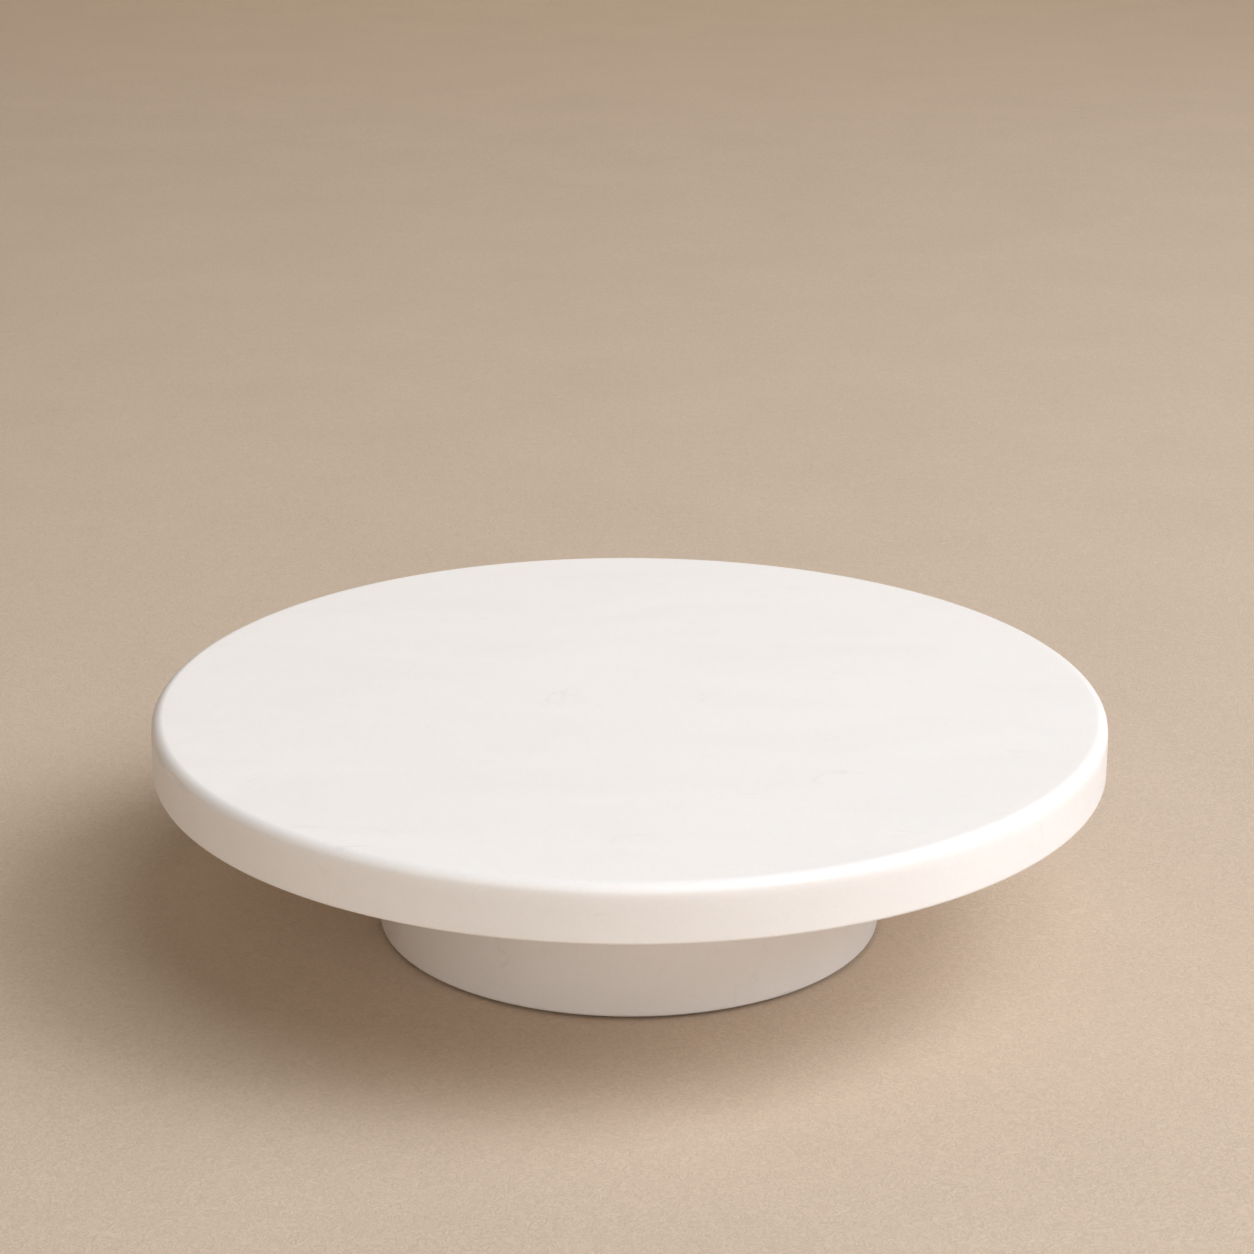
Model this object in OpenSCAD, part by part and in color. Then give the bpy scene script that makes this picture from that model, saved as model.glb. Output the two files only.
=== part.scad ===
// Stone lazy susan turntable: a round stone plate that spins on a ball
// bearing ring, which sits in the top of a hollow stone drum on four feet.
// The frame's origin is the centre of the surface that the feet stand on.

/* [Plate] */
// Diameter of the stone plate
plate_d = 305; // [260:1:400]
// Thickness of the stone plate
plate_t = 18; // [15:0.5:30]
// Radius of the rounding along the plate's top edge
plate_edge_r = 4; // [2:0.5:6]
// Angle that the rounding turns through before it meets the side
plate_edge_turn = 80; // [60:1:90]
// Radius of the small eased edges of both stones
arris_r = 1; // [0.4:0.1:1.5]

/* [Drum] */
// Height of the whole turntable
total_h = 75; // [62:1:120]
// Outer diameter of the stone drum
drum_d = 163; // [135:1:210]
// Width of the stone rim around the bearing
rim_w = 11; // [8:0.5:16]
// Width of the ledge that the bearing sits on
seat_w = 15; // [12:0.5:16]
// Air gap between the plate and the drum's rim
plate_gap = 1.8; // [1.2:0.1:3]

/* [Feet] */
// Number of feet
foot_count = 4; // [3:1:6]
// Diameter of one foot
foot_d = 15; // [10:0.5:18]
// Thickness of one foot
foot_t = 3; // [2:0.1:4]
// How far a foot stands out of its pocket
foot_proud = 0.8; // [0.5:0.1:1.5]

/* [Bearing] */
// Diameter of one ball
ball_d = 5; // [4:0.1:6]
// Distance from one ball to the next along the race
ball_spacing = 10; // [8:0.5:14]
// Metal of a race above and below its balls
race_lip = 1.25; // [1:0.05:2]
// Width of the outer race, from its bore to its edge
outer_race_w = 10.8; // [10.8:0.1:13]
// Width of the inner race, from its bore to its edge
inner_race_w = 13.8; // [12:0.1:18]
// Radial gap between the two races
race_gap = 2.4; // [2:0.1:2.8]
// How much higher the inner race sits than the outer one
race_step = 1; // [0.6:0.1:1.2]
// Wall thickness of the ball cage
cage_wall = 1.4; // [1:0.1:1.6]
// Thickness of the gaskets between metal and stone
gasket_t = 0.8; // [0.5:0.1:1.5]

/* [Fasteners] */
// Number of screws in each race
screw_count = 4; // [3:1:6]
// Thread diameter of the screws
screw_d = 4; // [3:0.1:4.8]
// Diameter of the countersunk screw heads
screw_head_d = 7.8; // [6.4:0.1:8]
// Width across the flats of the screws' hexagon sockets
socket_w = 2.5; // [2:0.1:3]
// Wall of the threaded inserts around the screw
insert_wall = 1; // [0.8:0.1:1.4]
// Length of the threaded inserts
insert_l = 8; // [6:0.5:9]
// Diameter of the rivets that hold the inner race together
rivet_d = 3; // [2.4:0.1:3.6]
// Diameter of the rivets' countersunk heads
rivet_head_d = 5; // [4:0.1:6]

/* [Clearances] */
// Gap around the outer race in the drum's recess
race_fit = 0.5; // [0.3:0.1:1]
// Gap around a ball in its groove
groove_fit = 0.06; // [0.02:0.01:0.1]
// Gap around a ball in its cage pocket
pocket_fit = 0.1; // [0.05:0.01:0.2]
// Gap around a foot in its pocket
foot_fit = 0.3; // [0.1:0.1:0.5]
// Gap around an insert in its hole, which the glue fills
glue_fit = 0.1; // [0.05:0.05:0.3]
// Gap around a screw in a clearance hole
screw_fit = 0.2; // [0.1:0.05:0.4]
// Gap around a screw in its insert
thread_fit = 0.05; // [0.02:0.01:0.1]
// Gap around a countersunk head in its countersink
head_fit = 0.1; // [0.05:0.05:0.2]
// Gap around a rivet in its hole
rivet_fit = 0.05; // [0.02:0.01:0.1]

/* [Small details] */
// Chamfer on the corners of the races
metal_edge = 0.4; // [0.2:0.1:0.8]
// Chamfer on the lower edge of the drum's bore
bore_edge = 1.5; // [0.5:0.1:2]
// Chamfer on the upper edge of the drum's recess
recess_edge = 0.8; // [0.3:0.1:1.5]
// Cage left above and below a ball's pocket
cage_rim = 0.6; // [0.4:0.1:0.8]
// How far a gasket's edges stand back from those of its race
gasket_inset = 0.5; // [0.2:0.1:1]
// Depth of an insert's hole past the end of the insert
hole_spare = 1.5; // [0.5:0.1:2]
// Distance from a screw's tip to the far end of its insert
screw_short = 0.3; // [0.1:0.1:2]
// Chamfer on a screw's tip
screw_tip = 0.5; // [0.2:0.1:0.8]
// Straight rim of a countersunk head
head_land = 0.2; // [0.1:0.1:0.4]
// Depth of a screw's hexagon socket
socket_depth = 1.6; // [1:0.1:2]
// Number of glue grooves around an insert
glue_grooves = 3; // [1:1:5]
// Depth of the glue grooves around an insert
groove_depth = 0.25; // [0.1:0.05:0.4]
// Rounding of a foot's lower edge
foot_edge = 0.6; // [0.2:0.1:1]

/* [Hidden] */
// How far a cut runs past the face that it cuts
over = 1;

// Heights, from the surface that the feet stand on
drum_bottom = foot_proud;
plate_bottom = total_h - plate_t;
race_t = ball_d + 2 * race_lip;
inner_top = plate_bottom - gasket_t;
inner_bottom = inner_top - race_t;
outer_bottom = inner_bottom - race_step;
outer_top = outer_bottom + race_t;
seat_z = outer_bottom - gasket_t;
drum_top = plate_bottom - plate_gap;
ball_z = (outer_bottom + inner_top) / 2;

// Radii, from the spin axis
plate_r = plate_d / 2;
drum_r = drum_d / 2;
recess_r = drum_r - rim_w;
bore_r = recess_r - seat_w;
outer_race_r = recess_r - race_fit;
outer_race_bore_r = outer_race_r - outer_race_w;
inner_race_r = outer_race_bore_r - race_gap;
inner_race_bore_r = inner_race_r - inner_race_w;
pitch_r = (outer_race_bore_r + inner_race_r) / 2;
groove_r = ball_d / 2 + groove_fit;
outer_screw_r = (pitch_r + groove_r + outer_race_r) / 2;
inner_screw_r = (pitch_r - groove_r + inner_race_bore_r) / 2;
foot_ring_r = (bore_r + drum_r) / 2;

// Sizes that follow from the ones above
ball_count = floor(2 * PI * pitch_r / ball_spacing);
cage_h = ball_d + 2 * (pocket_fit + cage_rim);
screw_l = race_t + gasket_t + insert_l - screw_short;
insert_r = screw_d / 2 + insert_wall;
insert_hole_l = insert_l + hole_spare;
foot_pocket = foot_t - foot_proud;
screw_turn = 360 / screw_count;
foot_turn = 360 / foot_count;
first_foot = foot_turn / 2;

FEET = [for (i = [1:foot_count]) str("foot_", i)];
PLATE_INSERTS = [for (i = [1:screw_count]) str("plate_insert_", i)];
BASE_INSERTS = [for (i = [1:screw_count]) str("base_insert_", i)];
$fn = 96;

// ---- Shapes that several pieces share ----

// Everything outside the quarter circle of a corner, to be cut from an outline.
// corner is the sharp corner's place, and out gives the sides it points to.
module corner_sliver(corner, r, out) {
    translate([corner.x - out.x * r, corner.y - out.y * r])
        difference() {
            translate([out.x > 0 ? 0 : -r - over, out.y > 0 ? 0 : -r - over])
                square(r + over);
            circle(r);
        }
}

// A right-angled triangle that chamfers a corner when it is cut from an outline.
module corner_wedge(corner, w, out) {
    far = w + over;
    translate(corner)
        polygon([
            [out.x * over, out.y * over],
            [out.x * over, -out.y * far],
            [-out.x * far, out.y * over],
        ]);
}

// A flat ring between two radii and two heights.
module ring(r_in, r_out, z_low, z_high) {
    translate([0, 0, z_low])
        difference() {
            cylinder(r = r_out, h = z_high - z_low);
            translate([0, 0, -over]) cylinder(r = r_in, h = z_high - z_low + 2 * over);
        }
}

// Copies of its children around the spin axis, at one radius and height.
module around(count, r, z = 0, first = 0) {
    for (i = [0:count - 1])
        rotate(first + i * 360 / count) translate([r, 0, z]) children();
}

// A hole for a countersunk piece that goes in at z = 0 and points up.
module countersunk_hole(r, head_r, depth) {
    translate([0, 0, -over]) cylinder(r = r, h = depth + 2 * over);
    translate([0, 0, -over]) cylinder(r = head_r, h = over + head_land);
    translate([0, 0, head_land]) cylinder(r1 = head_r, r2 = r, h = head_r - r);
}

// The screws that go up through the inner race, or down through the outer one.
module socket_screw() {
    r = screw_d / 2 - thread_fit;
    head_r = screw_head_d / 2;
    difference() {
        union() {
            cylinder(r = head_r, h = head_land);
            translate([0, 0, head_land]) cylinder(r1 = head_r, r2 = r, h = head_r - r);
            cylinder(r = r, h = screw_l - screw_tip);
            translate([0, 0, screw_l - screw_tip]) cylinder(r1 = r, r2 = r - screw_tip, h = screw_tip);
        }
        translate([0, 0, -over]) cylinder(d = socket_w / cos(30), h = socket_depth + over, $fn = 6);
    }
}

module screw_hole() {
    countersunk_hole(screw_d / 2 + screw_fit, screw_head_d / 2 + head_fit, race_t);
}

// A threaded insert that stands on z = 0. The grooves around it hold the glue.
module threaded_insert() {
    groove_w = insert_l / (2 * glue_grooves + 1);
    difference() {
        cylinder(r = insert_r, h = insert_l);
        translate([0, 0, -over]) cylinder(d = screw_d, h = insert_l + 2 * over);
        for (k = [1:glue_grooves])
            ring(insert_r - groove_depth, insert_r + over, (2 * k - 1) * groove_w, 2 * k * groove_w);
    }
}

// The blind hole for an insert, drilled up into stone from z = 0.
module insert_hole() {
    translate([0, 0, -over]) cylinder(r = insert_r + glue_fit, h = insert_hole_l + over);
}

// A race's outline: a rectangle with chamfered corners and the ball groove cut in.
module race_outline(r_in, r_out, z_low, z_high) {
    difference() {
        translate([r_in, z_low]) square([r_out - r_in, z_high - z_low]);
        corner_wedge([r_in, z_low], metal_edge, [-1, -1]);
        corner_wedge([r_out, z_low], metal_edge, [1, -1]);
        corner_wedge([r_in, z_high], metal_edge, [-1, 1]);
        corner_wedge([r_out, z_high], metal_edge, [1, 1]);
        translate([pitch_r, ball_z]) circle(groove_r);
    }
}

// ---- The plate and what turns with it ----

module top_plate() {
    run = plate_edge_r * sin(plate_edge_turn);
    drop = plate_edge_r * (1 - cos(plate_edge_turn));
    color("#f3efec")
    difference() {
        translate([0, 0, plate_bottom])
            rotate_extrude()
                difference() {
                    square([plate_r, plate_t]);
                    difference() {
                        translate([plate_r - run, plate_t - drop]) square([run + over, drop + over]);
                        translate([plate_r - run, plate_t - plate_edge_r]) circle(plate_edge_r);
                    }
                    corner_sliver([plate_r, 0], arris_r, [1, -1]);
                }
        around(screw_count, inner_screw_r, plate_bottom) insert_hole();
    }
}

module plate_insert(i) {
    color("#c9a24a")
        rotate(i * screw_turn) translate([inner_screw_r, 0, plate_bottom]) threaded_insert();
}

module plate_gasket() {
    color("#3c3b39")
    difference() {
        ring(inner_race_bore_r + gasket_inset, inner_race_r - gasket_inset, inner_top, plate_bottom);
        around(screw_count, inner_screw_r, inner_top - over)
            cylinder(r = screw_d / 2 + 2 * screw_fit, h = gasket_t + 2 * over);
    }
}

// Holes that run through both halves of the inner race.
module inner_race_holes() {
    around(screw_count, inner_screw_r, inner_bottom) screw_hole();
    rivet_positions()
        for (end = [0, 1])
            translate([0, 0, end * race_t]) mirror([0, 0, end])
                countersunk_hole(rivet_d / 2 + rivet_fit, rivet_head_d / 2 + rivet_fit, race_t / 2);
}

// Two rivets between each pair of screws.
module rivet_positions() {
    for (i = [0:screw_count - 1], third = [1, 2])
        rotate((i + third / 3) * screw_turn) translate([inner_screw_r, 0, inner_bottom]) children();
}

// One half of the inner race, between two heights.
module inner_race_half(z_low, z_high) {
    color("#b9bcc0")
    difference() {
        rotate_extrude()
            intersection() {
                race_outline(inner_race_bore_r, inner_race_r, inner_bottom, inner_top);
                translate([0, z_low]) square([plate_r, z_high - z_low]);
            }
        inner_race_holes();
    }
}

module inner_race_upper() {
    inner_race_half(ball_z, inner_top);
}

module inner_race_lower() {
    inner_race_half(inner_bottom, ball_z);
}

module race_rivets() {
    r = rivet_d / 2;
    head_r = rivet_head_d / 2;
    color("#a9acb0")
    rivet_positions() {
        cylinder(r = r, h = race_t);
        for (end = [0, 1])
            translate([0, 0, end * race_t]) mirror([0, 0, end]) {
                cylinder(r = head_r, h = head_land);
                translate([0, 0, head_land]) cylinder(r1 = head_r, r2 = r, h = head_r - r);
            }
    }
}

module plate_screws() {
    color("#8d9095")
        around(screw_count, inner_screw_r, inner_bottom) socket_screw();
}

// ---- The balls and their cage ----

module ball_cage() {
    color("#e8e4d8")
    difference() {
        ring(pitch_r - cage_wall / 2, pitch_r + cage_wall / 2, ball_z - cage_h / 2, ball_z + cage_h / 2);
        around(ball_count, pitch_r, ball_z)
            rotate([0, 90, 0]) cylinder(r = ball_d / 2 + pocket_fit, h = cage_wall + 2 * over, center = true);
    }
}

module bearing_balls() {
    color("#d6d8da")
        around(ball_count, pitch_r, ball_z) sphere(d = ball_d);
}

// ---- The drum and what stands still with it ----

module base_drum() {
    color("#f1edea")
    difference() {
        rotate_extrude()
            difference() {
                translate([bore_r, drum_bottom]) square([drum_r - bore_r, drum_top - drum_bottom]);
                translate([0, seat_z]) square([recess_r, drum_top + over - seat_z]);
                corner_sliver([drum_r, drum_bottom], arris_r, [1, -1]);
                corner_sliver([drum_r, drum_top], arris_r, [1, 1]);
                corner_wedge([recess_r, drum_top], recess_edge, [-1, 1]);
                corner_wedge([bore_r, drum_bottom], bore_edge, [-1, -1]);
            }
        around(screw_count, outer_screw_r, seat_z) mirror([0, 0, 1]) insert_hole();
        around(foot_count, foot_ring_r, drum_bottom, first_foot)
            translate([0, 0, -over]) cylinder(r = foot_d / 2 + foot_fit, h = foot_pocket + over);
    }
}

module base_insert(i) {
    color("#c9a24a")
        rotate(i * screw_turn) translate([outer_screw_r, 0, seat_z - insert_l]) threaded_insert();
}

module drum_gasket() {
    color("#3c3b39")
    difference() {
        ring(outer_race_bore_r + gasket_inset, outer_race_r - gasket_inset, seat_z, outer_bottom);
        around(screw_count, outer_screw_r, seat_z - over)
            cylinder(r = screw_d / 2 + 2 * screw_fit, h = gasket_t + 2 * over);
    }
}

module outer_race() {
    color("#b9bcc0")
    difference() {
        rotate_extrude() race_outline(outer_race_bore_r, outer_race_r, outer_bottom, outer_top);
        around(screw_count, outer_screw_r, outer_top) mirror([0, 0, 1]) screw_hole();
    }
}

module base_screws() {
    color("#8d9095")
        around(screw_count, outer_screw_r, outer_top) mirror([0, 0, 1]) socket_screw();
}

module foot(i) {
    r = foot_d / 2;
    color("#2f2e2c")
        rotate(first_foot + i * foot_turn)
            translate([foot_ring_r, 0, 0])
                rotate_extrude()
                    difference() {
                        square([r, foot_t]);
                        corner_sliver([r, 0], foot_edge, [1, -1]);
                    }
}

top_plate();
plate_gasket();
inner_race_upper();
inner_race_lower();
race_rivets();
plate_screws();
for (i = [0:screw_count - 1])
    plate_insert(i);
ball_cage();
bearing_balls();
base_drum();
drum_gasket();
outer_race();
base_screws();
for (i = [0:screw_count - 1])
    base_insert(i);
for (i = [0:foot_count - 1])
    foot(i);
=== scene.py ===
import math

import bmesh
import bpy
from bpy.props import (
    FloatProperty,
    FloatVectorProperty,
    IntProperty,
    PointerProperty,
)
from bpy.types import NodeSocket, Operator, Panel, PropertyGroup
from mathutils import Matrix, Vector


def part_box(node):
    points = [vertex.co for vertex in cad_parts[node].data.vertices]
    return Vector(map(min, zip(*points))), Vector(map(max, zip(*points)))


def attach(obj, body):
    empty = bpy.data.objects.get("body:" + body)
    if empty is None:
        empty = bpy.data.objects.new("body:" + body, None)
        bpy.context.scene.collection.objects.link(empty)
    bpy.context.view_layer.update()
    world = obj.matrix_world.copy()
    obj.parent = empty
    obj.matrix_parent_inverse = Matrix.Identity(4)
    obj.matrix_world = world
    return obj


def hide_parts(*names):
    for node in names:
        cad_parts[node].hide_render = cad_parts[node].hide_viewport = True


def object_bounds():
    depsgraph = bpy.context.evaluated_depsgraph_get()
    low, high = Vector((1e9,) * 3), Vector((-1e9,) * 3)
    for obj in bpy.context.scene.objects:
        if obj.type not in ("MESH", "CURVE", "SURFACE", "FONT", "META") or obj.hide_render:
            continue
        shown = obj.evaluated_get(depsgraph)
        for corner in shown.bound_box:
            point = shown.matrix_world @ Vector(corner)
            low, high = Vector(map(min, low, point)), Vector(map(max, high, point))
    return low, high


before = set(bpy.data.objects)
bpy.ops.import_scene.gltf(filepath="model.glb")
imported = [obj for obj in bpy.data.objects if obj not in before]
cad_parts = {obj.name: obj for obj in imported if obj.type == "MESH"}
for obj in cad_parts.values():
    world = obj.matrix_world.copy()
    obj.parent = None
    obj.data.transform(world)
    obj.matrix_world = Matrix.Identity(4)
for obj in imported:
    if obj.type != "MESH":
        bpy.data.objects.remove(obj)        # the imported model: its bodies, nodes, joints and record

bl_info = {
    "name": "Stone Turntable",
    "version": (1, 0, 0),
    "blender": (4, 5, 0),
    "location": "View3D > Sidebar > Turntable",
    "description": "Models a stone lazy susan piece by piece, with its finishes and a small studio",
    "category": "Add Mesh",
}

CAD_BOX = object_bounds()
CENTRE = (Vector(CAD_BOX[0]) + Vector(CAD_BOX[1])) / 2
MM = 0.001
FULL_TURN = 2 * math.pi

# Steps around a full turn, by how large the piece is
STONE_STEPS = 576
RING_STEPS = 288
FOOT_STEPS = 96
SMALL_STEPS = 48


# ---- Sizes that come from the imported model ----


def radii(node):
    """Smallest and largest distance of a node's points from the spin axis."""
    reach = [math.hypot(v.co.x, v.co.y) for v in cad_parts[node].data.vertices]
    return min(reach), max(reach)


def heights(node):
    """Lowest and highest point of a node."""
    low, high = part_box(node)
    return low.z, high.z


def places(prefix):
    """Radius and angles, around the spin axis, of the nodes whose names start with prefix."""
    names = sorted(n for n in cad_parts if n.startswith(prefix))
    centres = [(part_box(n)[0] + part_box(n)[1]) / 2 for n in names]
    return centres[0].xy.length, [math.atan2(c.y, c.x) for c in centres]


def half_width(node):
    """Half of a node's size along X."""
    low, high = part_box(node)
    return (high.x - low.x) / 2


# ---- Colours ----


def linear(hex_colour):
    """The linear RGB of an sRGB colour written as #rrggbb."""
    parts = [int(hex_colour[i:i + 2], 16) / 255 for i in (1, 3, 5)]
    return [c / 12.92 if c <= 0.04045 else ((c + 0.055) / 1.055) ** 2.4 for c in parts]


def colour_setting(name, description, hex_colour):
    """A colour that the user can change, with its default as an sRGB hex value."""
    return FloatVectorProperty(
        name=name, description=description, default=linear(hex_colour), subtype="COLOR", min=0, max=1
    )


def length_setting(name, description, default):
    """A length in metres that the user can change."""
    return FloatProperty(
        name=name, description=description, default=default, min=0, unit="LENGTH", precision=5
    )


def angle_setting(name, description, degrees):
    """An angle that the user can change, with its default in degrees."""
    return FloatProperty(
        name=name, description=description, default=math.radians(degrees), unit="ROTATION"
    )


# ---- Settings ----


class TurntableStone(PropertyGroup):
    plate_radius: length_setting("Plate Radius", "Radius of the plate", radii("top_plate")[1])
    plate_low: length_setting("Plate Underside", "Height of its underside", heights("top_plate")[0])
    plate_high: length_setting("Plate Top", "Height of its top", heights("top_plate")[1])
    rounding: length_setting("Top Rounding", "Radius along the plate's top edge", 4 * MM)
    rounding_turn: angle_setting("Rounding Turn", "Turn of the rounding down to its crease", 80)
    run_out: length_setting("Run-out", "How far the rounding fades below its crease", 2.8 * MM)
    run_out_turn: angle_setting("Run-out Turn", "Place on the rounding where the fading starts", 30)
    arris: length_setting("Arris", "Radius of the small eased edges of both stones", 1 * MM)
    drum_radius: length_setting("Drum Radius", "Outer radius of the drum", radii("base_drum")[1])
    bore_radius: length_setting("Drum Bore", "Radius of the drum's bore", radii("base_drum")[0])
    drum_low: length_setting("Drum Underside", "Height of its underside", heights("base_drum")[0])
    drum_high: length_setting("Drum Top", "Height of the drum's rim", heights("base_drum")[1])
    race_gap: length_setting("Race Gap", "Gap between the outer race and the drum", 0.5 * MM)
    seat: length_setting("Seat", "Height of the bearing's ledge", heights("drum_gasket")[0])
    bore_chamfer: length_setting("Bore Chamfer", "Chamfer on the bore's lower edge", 1.5 * MM)
    recess_chamfer: length_setting("Recess Chamfer", "Chamfer on the drum's recess", 0.8 * MM)
    foot_gap: length_setting("Foot Gap", "Gap around a foot in its pocket", 0.3 * MM)
    chip_length: length_setting("Chip Length", "Length of the longest chip in an edge", 20 * MM)
    chip_depth: length_setting("Chip Depth", "Depth of the longest chip's middle", 0.45 * MM)
    chip_rise: length_setting("Chip Rise", "Height of the plate's chips over the crease", 0.8 * MM)


class TurntableBearing(PropertyGroup):
    chamfer: length_setting("Race Chamfer", "Chamfer on the corners of the races", 0.4 * MM)
    split_bevel: length_setting("Split Bevel", "Bevel where the inner race is split", 0.12 * MM)
    groove_gap: length_setting("Groove Gap", "Gap around a ball in its groove", 0.06 * MM)
    pocket_gap: length_setting("Pocket Gap", "Gap around a ball in the cage", 0.1 * MM)
    ball_count: IntProperty(name="Balls", description="Balls in the ring", default=36, min=3)
    cage_edge: length_setting("Cage Edge", "Rounding of the cage's edges", 0.25 * MM)
    rubber_edge: length_setting("Gasket Edge", "Rounding of the gaskets' edges", 0.15 * MM)


class TurntableFasteners(PropertyGroup):
    thread_pitch: length_setting("Thread Pitch", "Distance from one thread to the next", 0.7 * MM)
    thread_depth: length_setting("Thread Depth", "Depth of the threads", 0.33 * MM)
    shank_radius: length_setting("Screw Radius", "Outer radius of the screws' threads", 1.95 * MM)
    screw_tip: length_setting("Screw Tip", "Chamfer on the screws' tips", 0.5 * MM)
    screw_gap: length_setting("Screw Gap", "Gap around a screw in the hole of a race", 0.25 * MM)
    gasket_hole: length_setting("Gasket Hole", "Radius of a gasket's screw holes", 2.4 * MM)
    head_gap: length_setting("Head Gap", "Gap around a screw's head", 0.1 * MM)
    head_land: length_setting("Head Land", "Straight rim of a countersunk head", 0.2 * MM)
    head_ease: length_setting("Head Ease", "Chamfer on the rim of a head", 0.08 * MM)
    socket_width: length_setting("Socket Width", "Width across a socket's flats", 2.5 * MM)
    socket_depth: length_setting("Socket Depth", "Depth of a screw's socket", 1.6 * MM)
    rivet_radius: length_setting("Rivet Radius", "Radius of a rivet's shank", 1.5 * MM)
    rivet_gap: length_setting("Rivet Gap", "Gap around a rivet in its hole", 0.05 * MM)
    insert_bore: length_setting("Insert Bore", "Radius of the bore of an insert", 2 * MM)
    insert_groove: length_setting("Insert Groove", "Depth of an insert's grooves", 0.25 * MM)
    insert_ease: length_setting("Insert Ease", "Chamfer on an insert's bore", 0.3 * MM)
    glue_gap: length_setting("Glue Gap", "Gap around an insert in the stone", 0.1 * MM)
    hole_spare: length_setting("Spare Depth", "Depth of a hole past its insert", 1.5 * MM)


class TurntableFinish(PropertyGroup):
    marble: colour_setting("Marble", "Ground colour of the marble", "#f6f4f3")
    marble_cloud: colour_setting("Marble Clouds", "Colour of the cloudy patches", "#f3f1f0")
    marble_vein: colour_setting("Marble Veins", "Colour of the hair-fine veins", "#dbd8d5")
    aluminium: colour_setting("Aluminium", "Colour of the turned races", "#c9cacc")
    rivet: colour_setting("Rivets", "Colour of the pressed rivets", "#b4b5b6")
    ball_steel: colour_setting("Ball Steel", "Colour of the polished balls", "#d3d4d6")
    screw_zinc: colour_setting("Screw Zinc", "Colour of the zinc plate on the screws", "#b9bcc1")
    brass: colour_setting("Brass", "Colour of the turned inserts", "#d8b35f")
    nylon: colour_setting("Nylon", "Colour of the ball cage", "#e6e1d3")
    gasket: colour_setting("Gasket", "Colour of the rubber gaskets", "#2c2b2a")
    foot: colour_setting("Feet", "Colour of the rubber feet", "#343231")
    paper: colour_setting("Paper", "Colour of the studio's paper floor", "#cdbaa6")


class TurntableStage(PropertyGroup):
    camera_place: FloatVectorProperty(
        name="Camera Place", description="Where it stands", default=(0, -0.9525, 0.4213), unit="LENGTH"
    )
    camera_tilt: angle_setting("Camera Tilt", "How far the camera looks down", 18.705)
    camera_heading: angle_setting("Camera Heading", "How far the camera looks left", 0.055)
    camera_roll: angle_setting("Camera Roll", "How far the camera leans left", 0.15)
    lens: FloatProperty(
        name="Lens", description="Focal length on a 36 mm sensor", default=90.5, unit="CAMERA"
    )
    light_power: FloatProperty(
        name="Light Power", description="Power of all the lights", default=144, unit="POWER"
    )
    light_distance: length_setting("Light Distance", "From the object to each light", 3)
    sky: FloatProperty(
        name="Sky", description="Strength of the even light from all round", default=0.12, min=0
    )
    sky_colour: colour_setting("Sky Colour", "Colour of the even light", "#fff0da")
    paper_reach: length_setting("Paper Reach", "How far the paper lies flat", 3.2)
    paper_bend: length_setting("Paper Bend", "Radius of the paper's bend into a wall", 0.8)
    paper_height: length_setting("Paper Height", "Height of the paper's wall", 1.6)
    paper_drop: length_setting("Paper Drop", "How far the paper lies below the feet", 0.1 * MM)


# ---- Modelling steps that the pieces share ----


def only(piece):
    """Selects one object alone and makes it active."""
    bpy.ops.object.select_all(action="DESELECT")
    piece.select_set(True)
    bpy.context.view_layer.objects.active = piece


def added(primitive, **sizes):
    """A new primitive, added with nothing else selected."""
    bpy.ops.object.select_all(action="DESELECT")
    primitive(**sizes)
    return bpy.context.object


def select_vertices(piece, wanted):
    """Selects, in edit mode, the vertices whose place passes the test."""
    bpy.ops.mesh.select_all(action="DESELECT")
    shape = bmesh.from_edit_mesh(piece.data)
    for vertex in shape.verts:
        vertex.select_set(wanted(vertex.co))
    shape.select_flush(True)
    bmesh.update_edit_mesh(piece.data)


def arc(centre, radius, start, end, step=6):
    """Points of a section along an arc, between two angles in degrees."""
    count = max(2, math.ceil(abs(end - start) / step))
    angles = [math.radians(start + (end - start) * i / count) for i in range(count + 1)]
    return [(centre[0] + radius * math.cos(a), centre[1] + radius * math.sin(a)) for a in angles]


def run_out(start, corner, end, pieces=10):
    """Points of a curve that leaves start towards the corner and comes to end from the corner."""
    points = []
    for i in range(1, pieces + 1):
        t = i / pieces
        weights = ((1 - t) ** 2, 2 * t * (1 - t), t ** 2)
        ends = list(zip(weights, (start, corner, end)))
        points.append(tuple(sum(weight * point[axis] for weight, point in ends) for axis in (0, 1)))
    return points


def held(section, near=0.15 * MM, shortest=1 * MM):
    """A section with points added near the ends of long straight stretches, so they shade flat."""
    points = [section[0]]
    for a, b in zip(section, section[1:]):
        length = math.dist(a, b)
        if length > shortest:
            share = near / length
            for t in (share, 1 - share):
                points.append((a[0] + (b[0] - a[0]) * t, a[1] + (b[1] - a[1]) * t))
        points.append(b)
    return points


def rounded(inner, outer, low, high, radius, step):
    """Section of a flat ring with rounded edges."""
    return [
        *arc((inner + radius, low + radius), radius, 180, 270, step),
        *arc((outer - radius, low + radius), radius, 270, 360, step),
        *arc((outer - radius, high - radius), radius, 0, 90, step),
        *arc((inner + radius, high - radius), radius, 90, 180, step),
        (inner, low + radius),
    ]


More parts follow.
